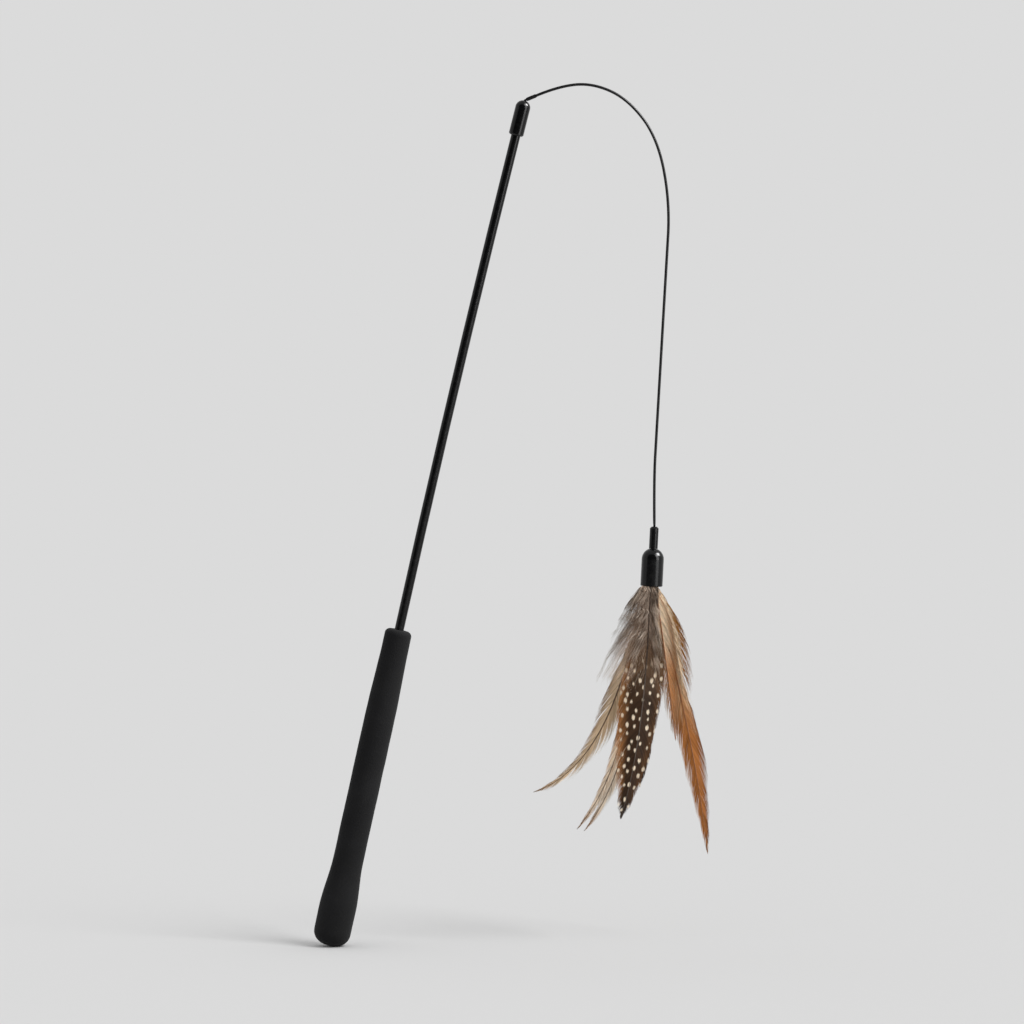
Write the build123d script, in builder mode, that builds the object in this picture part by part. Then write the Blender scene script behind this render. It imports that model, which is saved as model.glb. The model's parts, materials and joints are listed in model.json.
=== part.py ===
from build123d import *
from dataclasses import dataclass
from math import cos, radians, sin, sqrt, tan
import os

# Cat teaser wand: a foam grip on a slim glossy rod, a domed tip cap in which a springy wire can turn, and
# a feather lure that swings and spins on the end of that wire. Millimetres and degrees, +Z up. The wand
# leans in the XZ plane as it is held, and the origin is the middle of the grip, where the hand closes.

# Grip, one moulded foam handle with a blind bore
grip_lean = 12.5  # degrees from upright, to the right
grip_length = 174.0
grip_top_radius = 7.2
grip_top_chamfer = 1.8
grip_shoulder_drop = 52.0  # from the top end down to where the taper starts
grip_waist_radius = 8.15
flare_length = 22.0
butt_radius = 10.0
butt_length = 23.0  # from the foot up to the flare
foot_radius = 5.4  # of the flat that the round butt ends in
bore_floor = 24.0  # solid foam under the rod's end

# Rod, solid and slightly bowed by use
rod_radius = 2.5
rod_exposed = 271.7
rod_bow = 1.6  # degrees that the bare stretch turns
rod_chamfer = 0.4

# Tip cap, a domed ferrule with a socket for the rod and a bay for the bead that holds the wire
cap_wall = 1.5
cap_length = 19.2
cap_socket_depth = 11.0
cap_rim_chamfer = 0.7
cap_mouth_chamfer = 0.6
bead_radius = 1.6
bead_height = 2.6
bead_play = 0.2

# Wire, its clamped ends and the crimp sleeve at the tip
wire_radius = 0.6
wire_turn_clearance = 0.08  # round the wire where it turns in the cap
wire_swing_clearance = 0.25  # round the wire's ends where they swing
tail_bend_radius = 1.0
sleeve_lean = 53.4  # degrees between the cap's axis and the sleeve
sleeve_start = 1.1  # from the dome's top along the sleeve
sleeve_reach = 6.5
sleeve_root_radius = 0.85
sleeve_radius = 1.0
sleeve_taper = 1.2
wire_arc_share = 0.45  # of the shorter run beside a corner

# The wire's route in the XZ plane, from the mouth of the tip sleeve to the mouth of the lure's neck
wire_route = [
    (0, 0),
    (12.0, 5.0),
    (30.0, 6.8),
    (49.0, -1.6),
    (65.0, -22.5),
    (71.6, -57.0),
    (63.2, -204.8),
    (63.5, -230.1),
]

# Lure neck, the sleeve crimped on the wire's lower end, with a stem on which the lure spins
lure_lean = 2.8  # degrees from upright, to the right
neck_radius = 2.35
neck_length = 11.8
neck_chamfer = 0.9
stem_radius = 1.35
spin_clearance = 0.05
spin_gap = 0.2
stop_radius = 2.8
stop_height = 1.2

# Lure cap, the bell that gathers the quills, and the plug that holds them
lure_cap_radius = 5.95
lure_cap_length = 19.9
lure_cap_wall = 1.0
lure_cap_crown = 2.2
lure_cap_rim_chamfer = 0.3
plug_recess = 0.8

# Feathers: a six-sided quill set in the plug, then a shaft with a thin vane on each side
quill_radius = 0.55
quill_sides = 6
quill_depth = 6.0
quill_stub = 1.2
vane_thickness = 0.24
shaft_taper_share = 0.7  # of the quill's radius, lost by the tip
shaft_thickness = 0.7
station_shares = (0.0, 0.06, 0.18, 0.32, 0.43, 0.52, 0.68, 0.82, 0.93, 1.0)
downy_shares = (0.05, 0.5, 1.25, 1.6, 1.7, 0.96, 0.9, 0.64, 0.32, 0.03)
plume_shares = (0.05, 0.3, 0.6, 0.85, 0.98, 1.0, 0.92, 0.62, 0.3, 0.03)
hackle_shares = (0.05, 0.3, 0.7, 0.96, 1.0, 0.95, 0.75, 0.5, 0.26, 0.04)
late_shares = (0.05, 0.22, 0.4, 0.62, 0.9, 1.0, 0.85, 0.55, 0.27, 0.04)
shaft_steps = 60  # short steps in which a shaft's line is followed

cut_overrun = 1.0
quarter_turn = 90

# Derived places and sizes
cap_radius = rod_radius + cap_wall
cap_lean = grip_lean + rod_bow
grip_top = grip_length / 2
grip_foot = -grip_length / 2
rod_foot = grip_foot + bore_floor
butt_top = grip_foot + butt_length
dome_top = grip_foot + sqrt(butt_radius**2 - foot_radius**2)
flare_top = butt_top + flare_length
bead_foot = cap_socket_depth + bead_play
bead_bay_radius = bead_radius + bead_play
bead_bay_top = cap_socket_depth + bead_height + 2 * bead_play
turn_hole_radius = wire_radius + wire_turn_clearance
swing_seat_radius = wire_radius + wire_swing_clearance
lure_cap_top = -neck_length - spin_gap
lure_mouth = lure_cap_top - lure_cap_length
crown_inside = lure_cap_top - lure_cap_crown
shoulder_foot = lure_cap_top - sqrt(lure_cap_radius**2 - neck_radius**2)
spin_hole_radius = stem_radius + spin_clearance
stop_top = crown_inside - spin_gap
stop_foot = stop_top - stop_height
stop_bay_radius = stop_radius + spin_gap
plug_radius = lure_cap_radius - lure_cap_wall
plug_face = lure_mouth + plug_recess


@dataclass
class Feather:
    """One feather: its quill's place in the plug, how it hangs, and its outline."""

    name: str
    side_share: float  # of the plug's radius, to the right
    back_share: float  # of the plug's radius, to the back
    length: float
    half_width: float
    lean: float  # degrees from the lure's axis at the quill, to the right
    curl: float  # degrees that it turns further by its tip
    curl_power: float  # how late along the shaft that turn comes
    fan: float  # degrees to the back
    left_shares: tuple = hackle_shares
    right_shares: tuple = hackle_shares


feathers = [
    Feather("guinea_plume_front", -0.1, -0.74, 126.0, 11.8, 0.0, -14.0, 2, -5.5, downy_shares, plume_shares),
    Feather("guinea_plume_back", 0.16, -0.46, 108.0, 10.0, 3.0, -9.0, 2, -2.8, plume_shares, plume_shares),
    Feather("rust_hackle_inner", 0.42, -0.08, 84.0, 7.0, 11.0, -2.0, 2, 0.5),
    Feather("rust_hackle_long", 0.26, 0.38, 149.0, 6.6, 16.9, -8.0, 2, 4.0, late_shares, late_shares),
    Feather("cream_hackle", 0.6, 0.18, 60.0, 4.4, 21.0, -14.0, 2, 2.4),
    Feather("gold_hackle", 0.22, 0.72, 68.0, 5.4, 27.0, -20.0, 1, 8.5),
    Feather("tan_hackle_lower", -0.4, -0.2, 138.0, 5.0, -3.5, -33.0, 3, -0.5, late_shares, late_shares),
    Feather("tan_hackle_middle", -0.42, 0.2, 139.0, 5.2, -5.0, -33.0, 3, 2.2, late_shares, late_shares),
    Feather("tan_hackle_long", -0.36, 0.56, 134.0, 6.0, -11.5, -58.0, 3, 5.5, late_shares, late_shares),
]


def turned_plane(origin, lean):
    """A drawing plane for turned pieces: across from the leaning axis, and up along it."""
    return Plane(origin=origin, x_dir=(cos(radians(lean)), 0, -sin(radians(lean))), z_dir=(0, -1, 0))


def turning_axis(plane):
    """The axis that a turned plane's profiles revolve about."""
    return Axis(plane.origin, plane.y_dir)


def corner_radii(points):
    """The arc radius at each inner corner of a route, as large as its two runs allow."""
    radii = []
    for before, corner, after in zip(points, points[1:], points[2:]):
        run_in = Vector(*corner) - Vector(*before)
        run_out = Vector(*after) - Vector(*corner)
        shorter = min(run_in.length, run_out.length)
        radii.append(wire_arc_share * shorter / tan(radians(run_in.get_angle(run_out)) / 2))
    return radii


grip_plane = turned_plane((0, 0, 0), grip_lean)

# Grip: body with a tapered shoulder, flared and round butt with a flat foot, blind bore for the rod
with BuildPart() as grip:
    with BuildSketch(grip_plane):
        with BuildLine():
            Line((0, grip_foot), (foot_radius, grip_foot))
            TangentArc((butt_radius, dome_top), (foot_radius, grip_foot), tangent=(0, -1))
            Polyline(
                (butt_radius, dome_top),
                (butt_radius, butt_top),
                (grip_waist_radius, flare_top),
                (grip_waist_radius, grip_top - grip_shoulder_drop),
                (grip_top_radius, grip_top - grip_top_chamfer),
                (grip_top_radius - grip_top_chamfer, grip_top),
                (rod_radius, grip_top),
                (rod_radius, rod_foot),
                (0, rod_foot),
                (0, grip_foot),
            )
        make_face()
    revolve(axis=turning_axis(grip_plane))
grip.part.label = "foam_grip"

# Rod: straight in the grip, bowed where it is bare, straight again in the tip cap
with BuildLine(grip_plane) as rod_line:
    Line((0, rod_foot), (0, grip_top))
    bowed = JernArc((0, grip_top), (0, 1), radius=rod_exposed / radians(rod_bow), arc_size=-rod_bow)
    Line(bowed @ 1, (bowed @ 1) + (bowed % 1) * cap_socket_depth)
cap_base = bowed @ 1
cap_plane = turned_plane(cap_base, cap_lean)
with BuildPart() as rod:
    with BuildSketch(Plane(rod_line.line @ 0, x_dir=grip_plane.x_dir, z_dir=grip_plane.y_dir)):
        Circle(rod_radius)
    sweep(path=rod_line.line)
    rod_ends = rod.faces().filter_by(GeomType.PLANE)
    chamfer(rod_ends.edges(), length=rod_chamfer)
rod.part.label = "rod"

# Tip cap: domed outside, inside the rod's socket, the bead's bay and the hole that the wire turns in
with BuildPart() as tip_cap:
    with BuildSketch(cap_plane):
        with BuildLine():
            Polyline(
                (0, 0),
                (cap_radius - cap_rim_chamfer, 0),
                (cap_radius, cap_rim_chamfer),
                (cap_radius, cap_length - cap_radius),
            )
            TangentArc((cap_radius, cap_length - cap_radius), (0, cap_length), tangent=(0, 1))
            Line((0, cap_length), (0, 0))
        make_face()
    revolve(axis=turning_axis(cap_plane))
    with BuildSketch(cap_plane):
        with BuildLine():
            Polyline(
                (0, 0),
                (rod_radius, 0),
                (rod_radius, cap_socket_depth),
                (bead_bay_radius, cap_socket_depth),
                (bead_bay_radius, bead_bay_top),
                (turn_hole_radius, bead_bay_top),
                (turn_hole_radius, cap_length - cap_mouth_chamfer),
                (turn_hole_radius + cap_mouth_chamfer + cut_overrun, cap_length + cut_overrun),
                (0, cap_length + cut_overrun),
                close=True,
            )
        make_face()
    revolve(axis=turning_axis(cap_plane), mode=Mode.SUBTRACT)
tip_cap.part.label = "tip_cap"

# Swivel bead: crimped on the wire's end inside the cap
with BuildPart() as swivel_bead:
    with BuildSketch(cap_plane):
        with Locations((wire_radius, bead_foot)):
            Rectangle(bead_radius - wire_radius, bead_height, align=(Align.MIN, Align.MIN))
    revolve(axis=turning_axis(cap_plane))
swivel_bead.part.label = "swivel_bead"

# Tip sleeve: leans out from the dome's top, and ends in a round seat in which the wire's end swings
knee = cap_plane.from_local_coords(Vector(0, cap_length))
sleeve_plane = turned_plane(knee, cap_lean + sleeve_lean)
wire_exit = sleeve_plane.from_local_coords(Vector(0, sleeve_reach))
with BuildPart() as tip_sleeve:
    with BuildSketch(sleeve_plane):
        with BuildLine():
            Polyline(
                (wire_radius, sleeve_start),
                (sleeve_root_radius, sleeve_start),
                (sleeve_radius, sleeve_start + sleeve_taper),
                (sleeve_radius, sleeve_reach),
                (swing_seat_radius, sleeve_reach),
                (swing_seat_radius, sleeve_reach - swing_seat_radius),
                (wire_radius, sleeve_reach - swing_seat_radius),
                close=True,
            )
        make_face()
    revolve(axis=turning_axis(sleeve_plane))
tip_sleeve.part.label = "tip_sleeve"

# Wire tail: the clamped end, from the bead through the cap's hole and over into the sleeve
with BuildLine() as tail_line:
    FilletPolyline(
        cap_plane.from_local_coords(Vector(0, bead_foot)),
        knee,
        sleeve_plane.from_local_coords(Vector(0, sleeve_reach - swing_seat_radius)),
        radius=tail_bend_radius,
    )
with BuildPart() as wire_tail:
    with BuildSketch(Plane(tail_line.line @ 0, x_dir=cap_plane.x_dir, z_dir=cap_plane.y_dir)):
        Circle(wire_radius)
    sweep(path=tail_line.line)
wire_tail.part.label = "wire_tail"

# Wire: one springy arch and drop, with an end in each of the two round seats
wire_plane = Plane(wire_exit, x_dir=(1, 0, 0), z_dir=(0, -1, 0))
wire_radii = corner_radii(wire_route)
print("wire arc radii:", [round(radius, 1) for radius in wire_radii])
with BuildLine(wire_plane) as wire_line:
    FilletPolyline(*wire_route, radius=wire_radii)
with BuildPart() as wire:
    with BuildSketch(Plane(wire_line.line @ 0, x_dir=(0, 1, 0), z_dir=wire_line.line % 0)):
        Circle(wire_radius)
    sweep(path=wire_line.line)
wire.part.label = "wire"
print("wire length:", round(wire_line.wire().length, 1))

# Lure neck: chamfered sleeve, with a thinner stem that passes through the lure cap
lure_pivot = wire_line.line @ 1
lure_plane = turned_plane(lure_pivot, lure_lean)
with BuildPart() as lure_neck:
    with BuildSketch(lure_plane):
        with BuildLine():
            Polyline(
                (wire_radius, -swing_seat_radius),
                (swing_seat_radius, -swing_seat_radius),
                (swing_seat_radius, 0),
                (neck_radius - neck_chamfer, 0),
                (neck_radius, -neck_chamfer),
                (neck_radius, -neck_length),
                (stem_radius, -neck_length),
                (stem_radius, stop_foot),
                (wire_radius, stop_foot),
                close=True,
            )
        make_face()
    revolve(axis=turning_axis(lure_plane))
lure_neck.part.label = "lure_neck"

# Neck tail: the wire's other clamped end, inside the neck
with BuildPart() as neck_tail:
    with BuildSketch(lure_plane):
        with Locations((0, stop_foot)):
            Rectangle(wire_radius, -swing_seat_radius - stop_foot, align=(Align.MIN, Align.MIN))
    revolve(axis=turning_axis(lure_plane))
neck_tail.part.label = "neck_tail"

# Swivel stop: pressed on the stem's end inside the lure cap
with BuildPart() as swivel_stop:
    with BuildSketch(lure_plane):
        with Locations((stem_radius, stop_top)):
            Rectangle(stop_radius - stem_radius, stop_height, align=(Align.MIN, Align.MAX))
    revolve(axis=turning_axis(lure_plane))
swivel_stop.part.label = "swivel_stop"

# Lure cap: a bell with a round shoulder, open at the mouth, with a hole that spins on the stem
with BuildPart() as lure_cap:
    with BuildSketch(lure_plane):
        with BuildLine():
            Line((spin_hole_radius, lure_cap_top), (neck_radius, lure_cap_top))
            TangentArc((lure_cap_radius, shoulder_foot), (neck_radius, lure_cap_top), tangent=(0, 1))
            Polyline(
                (lure_cap_radius, shoulder_foot),
                (lure_cap_radius, lure_mouth + lure_cap_rim_chamfer),
                (lure_cap_radius - lure_cap_rim_chamfer, lure_mouth),
                (plug_radius, lure_mouth),
                (plug_radius, shoulder_foot),
                (stop_bay_radius, shoulder_foot),
                (stop_bay_radius, crown_inside),
                (spin_hole_radius, crown_inside),
                (spin_hole_radius, lure_cap_top),
            )
        make_face()
    revolve(axis=turning_axis(lure_plane))
lure_cap.part.label = "lure_cap"


def lure_point(side, back, up):
    """A place or direction in the lure's own frame, as a vector from the lure's pivot."""
    return lure_plane.x_dir * side + Vector(0, 1, 0) * back + lure_plane.y_dir * up


def quill_plane(feather, height):
    """The plane across a feather's quill at a height on the lure's axis."""
    side = feather.side_share * plug_radius
    back = feather.back_share * plug_radius
    place = lure_pivot + lure_point(side, back, height)
    return Plane(place, x_dir=lure_plane.x_dir, z_dir=lure_plane.y_dir)


def feather_plane(feather):
    """The plane that a feather lies in, fanned to the back about its quill's lower end."""
    fan = radians(feather.fan)
    front = lure_point(0, -cos(fan), -sin(fan))
    return Plane(quill_plane(feather, plug_face - quill_stub / 2).origin, x_dir=lure_plane.x_dir, z_dir=front)


def shaft_heading(feather, share, turn=0):
    """A shaft's direction in its feather's plane at a share of its length, turned further to the right."""
    lean = radians(feather.lean + feather.curl * share**feather.curl_power + turn)
    return Vector(sin(lean), -cos(lean))


def shaft_place(feather, share):
    """The place on a shaft in its feather's plane at a share of its length, followed in short steps."""
    place = Vector(0, 0)
    stride = share / shaft_steps
    for step in range(shaft_steps):
        middle = (step + 1 / 2) * stride
        place += shaft_heading(feather, middle) * (feather.length * stride)
    return place


def shaft_edge(feather, side, outline_shares):
    """The points along one side of a feather, a share of its vane's width away from its shaft."""
    points = []
    for share, outline_share in zip(station_shares, outline_shares):
        reach = quill_radius * (1 - shaft_taper_share * share) + feather.half_width * outline_share
        across = shaft_heading(feather, share, quarter_turn)
        points.append(shaft_place(feather, share) + across * (side * reach))
    return points


# Quill plug: the set glue that fills the bell's mouth, with a blind hole for each quill
with BuildPart() as quill_plug:
    with BuildSketch(lure_plane):
        with Locations((0, plug_face)):
            Rectangle(plug_radius, shoulder_foot - plug_face, align=(Align.MIN, Align.MIN))
    revolve(axis=turning_axis(lure_plane))
    for feather in feathers:
        with BuildSketch(quill_plane(feather, plug_face)):
            RegularPolygon(quill_radius, quill_sides)
        extrude(amount=quill_depth, mode=Mode.SUBTRACT)
quill_plug.part.label = "quill_plug"


def make_feather(feather):
    """A feather's solid: a six-sided quill, a raised shaft and a thin vane on each side of it."""
    right_edge = shaft_edge(feather, 1, feather.right_shares)
    left_edge = shaft_edge(feather, -1, feather.left_shares)
    bare_shares = [0] * len(station_shares)
    right_shaft = shaft_edge(feather, 1, bare_shares)
    left_shaft = shaft_edge(feather, -1, bare_shares)
    with BuildPart() as plume:
        with BuildSketch(feather_plane(feather).offset(-vane_thickness / 2)):
            with BuildLine():
                Polyline(*right_edge, *reversed(left_edge), close=True)
            make_face()
        extrude(amount=vane_thickness)
        with BuildSketch(feather_plane(feather).offset(-shaft_thickness / 2)):
            with BuildLine():
                Polyline(*right_shaft, *reversed(left_shaft), close=True)
            make_face()
        extrude(amount=shaft_thickness)
        with BuildSketch(quill_plane(feather, plug_face - quill_stub)):
            RegularPolygon(quill_radius, quill_sides)
        extrude(amount=quill_stub + quill_depth)
    plume.part.label = feather.name
    return plume.part


pieces = [
    grip.part,
    rod.part,
    tip_cap.part,
    swivel_bead.part,
    tip_sleeve.part,
    wire_tail.part,
    wire.part,
    lure_neck.part,
    neck_tail.part,
    swivel_stop.part,
    lure_cap.part,
    quill_plug.part,
]
pieces += [make_feather(feather) for feather in feathers]
os.makedirs("parts", exist_ok=True)
for piece in pieces:
    export_step(piece, f"parts/{piece.label}.step")
print("wire exit:", wire_exit, "lure pivot:", lure_pivot, "cap base:", cap_base, "knee:", knee)
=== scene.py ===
import json
import logging
import math
from dataclasses import dataclass, field, replace
from enum import Enum
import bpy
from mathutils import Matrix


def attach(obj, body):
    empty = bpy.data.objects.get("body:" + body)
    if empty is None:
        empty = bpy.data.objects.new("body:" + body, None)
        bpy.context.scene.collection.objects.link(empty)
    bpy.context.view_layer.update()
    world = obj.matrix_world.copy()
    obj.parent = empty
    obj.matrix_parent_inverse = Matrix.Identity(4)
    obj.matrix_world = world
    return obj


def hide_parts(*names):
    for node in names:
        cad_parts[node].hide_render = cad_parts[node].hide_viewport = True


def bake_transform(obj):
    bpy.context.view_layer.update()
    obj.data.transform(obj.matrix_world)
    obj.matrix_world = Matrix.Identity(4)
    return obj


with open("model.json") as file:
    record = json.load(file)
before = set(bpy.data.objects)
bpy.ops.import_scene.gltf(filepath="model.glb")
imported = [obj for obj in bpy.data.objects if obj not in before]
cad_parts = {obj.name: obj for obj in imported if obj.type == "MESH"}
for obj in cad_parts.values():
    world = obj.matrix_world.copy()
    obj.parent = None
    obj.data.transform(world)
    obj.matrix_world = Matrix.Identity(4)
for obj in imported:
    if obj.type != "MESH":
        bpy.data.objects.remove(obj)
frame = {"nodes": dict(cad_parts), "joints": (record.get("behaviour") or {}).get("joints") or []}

from types import SimpleNamespace
from typing import Callable, Sequence

import bmesh
import bpy
from bpy.types import ID, Material, Node, NodeSocket, NodeTree, Object
from mathutils import Vector, noise

# Looks of a cat teaser wand: foam grip, glossy rod and caps, a springy wire and a lure of nine feathers.
# Metres, in the CAD model's frame: the wand, wire and lure lie in the XZ plane and the viewer looks along +Y.

log = logging.getLogger("teaser_wand")
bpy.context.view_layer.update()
Y_AXIS = Vector((0.0, 1.0, 0.0))
MILLIMETRES = 1000.0  # in a metre
Colour = tuple[float, float, float, float]
Pair = tuple[float, float]


def tint(red: int, green: int, blue: int) -> Colour:
    """A colour as it is seen on an sRGB screen, turned into the linear colour that shaders take.

    Args:
        red: Red from 0 to 255.
        green: Green from 0 to 255.
        blue: Blue from 0 to 255.

    Returns:
        The linear colour with full alpha.
    """
    parts = [value / 255 for value in (red, green, blue)]
    linear = [part / 12.92 if part < 0.04045 else ((part + 0.055) / 1.055) ** 2.4 for part in parts]
    return (linear[0], linear[1], linear[2], 1.0)


def grey(level: float) -> Colour:
    """The neutral linear colour of that brightness."""
    return (level, level, level, 1.0)


def eased(rows: Sequence[Pair], at: float) -> float:
    """A value on a smooth line through known places.

    Args:
        rows: The places, in rising order, each with its value.
        at: The place that is asked for.

    Returns:
        The value there.
    """
    for (below, low), (above, high) in zip(rows, rows[1:]):
        if at <= above:
            part = (at - below) / (above - below)
            return low + (high - low) * part * part * (3 - 2 * part)
    return rows[-1][1]


def joint_named(name: str) -> dict:
    """The frame's joint of that name."""
    return next(joint for joint in frame["joints"] if joint["name"] == name)


def operator(operation: str, swapped: bool = False) -> Callable[["Value", "Value | float"], "Value"]:
    """A method that stands for an operator between values in a node tree.

    Args:
        operation: What the operator's Math node does.
        swapped: Whether the other value comes first.

    Returns:
        The method.
    """

    def method(value: "Value", other: "Value | float") -> "Value":
        """The node's result."""
        return value.bench.math(operation, *((other, value) if swapped else (value, other)))

    return method


@dataclass(frozen=True)
class Value:
    """A number, vector or colour that flows in a node tree, so that formulas can be written with operators."""

    bench: "Bench"
    socket: NodeSocket

    __add__ = __radd__ = operator("ADD")
    __sub__ = operator("SUBTRACT")
    __rsub__ = operator("SUBTRACT", swapped=True)
    __mul__ = __rmul__ = operator("MULTIPLY")
    __truediv__ = operator("DIVIDE")
    __pow__ = operator("POWER")


@dataclass
class Bench:
    """A node tree under construction, with short ways to add nodes and read their results."""

    tree: NodeTree

    def feed(self, socket: NodeSocket, value: object) -> None:
        """Gives a socket its input: a link where the value flows in the tree, and a setting otherwise.

        Args:
            socket: The input socket.
            value: A Value, a socket, or a plain setting.
        """
        if isinstance(value, Value):
            self.tree.links.new(value.socket, socket)
        elif isinstance(value, NodeSocket):
            self.tree.links.new(value, socket)
        else:
            socket.default_value = value

    def add(self, kind: str, inputs: dict[str, object] | None = None, **settings: object) -> Node:
        """Adds a node.

        Args:
            kind: The node's type name.
            inputs: What goes into its sockets, by socket identifier.
            settings: The node's own settings.

        Returns:
            The new node.
        """
        node = self.tree.nodes.new(kind)
        for name, value in settings.items():
            setattr(node, name, value)
        sockets = {socket.identifier: socket for socket in node.inputs}
        for name, value in (inputs or {}).items():
            self.feed(sockets[name], value)
        return node

    def read(self, node: Node, name: str) -> Value:
        """A node's result, by its socket's identifier."""
        return Value(self, next(socket for socket in node.outputs if socket.identifier == name))

    def worked(self, node: Node, sockets: Sequence[NodeSocket], values: Sequence[object]) -> Value:
        """Feeds values into a node.

        Args:
            node: The node.
            sockets: Its sockets, in the values' order.
            values: The values.

        Returns:
            The node's first result.
        """
        for socket, value in zip(sockets, values):
            self.feed(socket, value)
        return Value(self, node.outputs[0])

    def math(self, operation: str, *values: "Value | float") -> Value:
        """The result of a Math node on up to three values."""
        node = self.add("ShaderNodeMath", operation=operation)
        return self.worked(node, node.inputs, values)

    def vector(self, operation: str, *values: object) -> Value:
        """The vector result of a Vector Math node; SCALE takes its factor as the second value."""
        node = self.add("ShaderNodeVectorMath", operation=operation)
        sockets = [node.inputs[0], node.inputs["Scale"]] if operation == "SCALE" else node.inputs
        return self.worked(node, sockets, values)

    def mix(
        self, share: "Value | float", first: "Value | Colour", second: "Value | Colour", blend: str = "MIX"
    ) -> Value:
        """The first colour with a share, from 0 to 1, of the second laid over it."""
        inputs = {"Factor_Float": share, "A_Color": first, "B_Color": second}
        return self.read(self.add("ShaderNodeMix", inputs, data_type="RGBA", blend_type=blend), "Result_Color")

    def ramp(self, value: Value, low: float, high: float) -> Value:
        """0 where a value is at most low and 1 where it is at least high, with a smooth step between them."""
        inputs = {"Value": value, "From Min": low, "From Max": high}
        return self.read(self.add("ShaderNodeMapRange", inputs, interpolation_type="SMOOTHSTEP"), "Result")

    def attribute(self, name: str) -> Value:
        """A mesh's own number of that name, in a material."""
        return self.read(self.add("ShaderNodeAttribute", attribute_name=name), "Fac")

    def grain(self, scale: float, detail: float = 3.0) -> Value:
        """A cloudy pattern from 0 to 1 on Object coordinates, with features about 1 / scale metres across."""
        place = self.add("ShaderNodeTexCoord").outputs["Object"]
        return self.read(self.add("ShaderNodeTexNoise", {"Vector": place, "Scale": scale, "Detail": detail}), "Fac")

    def bump(self, height: Value, depth: float) -> Value:
        """The normal of a surface that a pattern from 0 to 1 roughens, to a depth in metres."""
        node = self.add("ShaderNodeBump", {"Strength": 1.0, "Distance": depth, "Height": height})
        return Value(self, node.outputs["Normal"])


@dataclass(frozen=True)
class Finish:
    """A named surface finish; each kind paints its own nodes round one Principled shader."""

    name: str

    def material(self) -> Material:
        """The finish's material, made on first use.

        Returns:
            The material of that name.
        """
        known = bpy.data.materials.get(self.name)
        if known is not None:
            return known
        material = bpy.data.materials.new(self.name)
        material.use_nodes = True
        bench = Bench(material.node_tree)
        shader = material.node_tree.nodes["Principled BSDF"]
        for name, value in self.paint(bench).items():
            bench.feed(shader.inputs[name], value)
        return material

    def paint(self, bench: Bench) -> dict[str, object]:
        """What goes into the shader's sockets, by name."""
        raise NotImplementedError


@dataclass(frozen=True)
class GlossFinish(Finish):
    """Moulded or lacquered black with faint handling marks in its gloss."""

    colour: Colour
    smooth: float
    worn: float
    marks_scale: float = 420.0
    paler: float = 1.5
    pale_range: Pair = (0.45, 0.75)
    worn_range: Pair = (0.35, 0.8)
    gloss: float = 0.26

    def paint(self, bench: Bench) -> dict[str, object]:
        """A dark body whose roughness varies in small patches.

        Args:
            bench: The material's node bench.

        Returns:
            The shader's inputs, by name.
        """
        marks = bench.grain(self.marks_scale)
        lighter = tuple(self.paler * part for part in self.colour[:3]) + (1.0,)
        return {
            "Base Color": bench.mix(bench.ramp(marks, *self.pale_range), self.colour, lighter),
            "Roughness": bench.ramp(marks, *self.worn_range) * (self.worn - self.smooth) + self.smooth,
            "Specular IOR Level": self.gloss,
        }


@dataclass(frozen=True)
class FoamFinish(Finish):
    """Closed-cell foam: matte, with pores and slightly paler rubbed patches."""

    colour: Colour
    rubbed: Colour
    pore_scale: float = 1500.0
    pore_depth: float = 0.00022
    pore_range: Pair = (0.1, 0.55)
    pore_tint: float = 0.25
    patch_scale: float = 55.0
    patch_range: Pair = (0.4, 0.75)
    patch_tint: float = 0.6
    grain_share: float = 0.6
    roughness: float = 0.88
    gloss: float = 0.15
    sheen: float = 0.04

    def paint(self, bench: Bench) -> dict[str, object]:
        """A dull body with pores and rubbed patches.

        Args:
            bench: The material's node bench.

        Returns:
            The shader's inputs, by name.
        """
        place = bench.add("ShaderNodeTexCoord").outputs["Object"]
        cells = bench.add("ShaderNodeTexVoronoi", {"Vector": place, "Scale": self.pore_scale, "Randomness": 1.0})
        pores = bench.ramp(bench.read(cells, "Distance"), *self.pore_range)
        patches = bench.ramp(bench.grain(self.patch_scale), *self.patch_range)
        worn = patches * self.patch_tint + (1.0 - pores) * self.pore_tint
        height = bench.grain(self.pore_scale, 2.0) * self.grain_share + pores * (1.0 - self.grain_share)
        return {
            "Base Color": bench.mix(worn, self.colour, self.rubbed),
            "Roughness": self.roughness,
            "Specular IOR Level": self.gloss,
            "Sheen Weight": self.sheen,
            "Normal": bench.bump(height, self.pore_depth),
        }


@dataclass(frozen=True)
class PlainFinish(Finish):
    """A hidden or small piece: one colour that drifts a little, with a fine grain."""

    colour: Colour
    second: Colour
    roughness: float
    metal: float = 0.0
    gloss: float = 0.5
    grain_scale: float = 900.0
    grain_range: Pair = (0.3, 0.7)
    grain_depth: float = 0.00003

    def paint(self, bench: Bench) -> dict[str, object]:
        """Two close colours in fine patches.

        Args:
            bench: The material's node bench.

        Returns:
            The shader's inputs, by name.
        """
        grain = bench.grain(self.grain_scale)
        return {
            "Base Color": bench.mix(bench.ramp(grain, *self.grain_range), self.colour, self.second),
            "Roughness": self.roughness,
            "Metallic": self.metal,
            "Specular IOR Level": self.gloss,
            "Normal": bench.bump(grain, self.grain_depth),
        }


class Pattern(Enum):
    """What is drawn on a feather's vane besides its plain colours."""

    PLAIN = "plain"
    DOTTED = "dotted"


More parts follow.
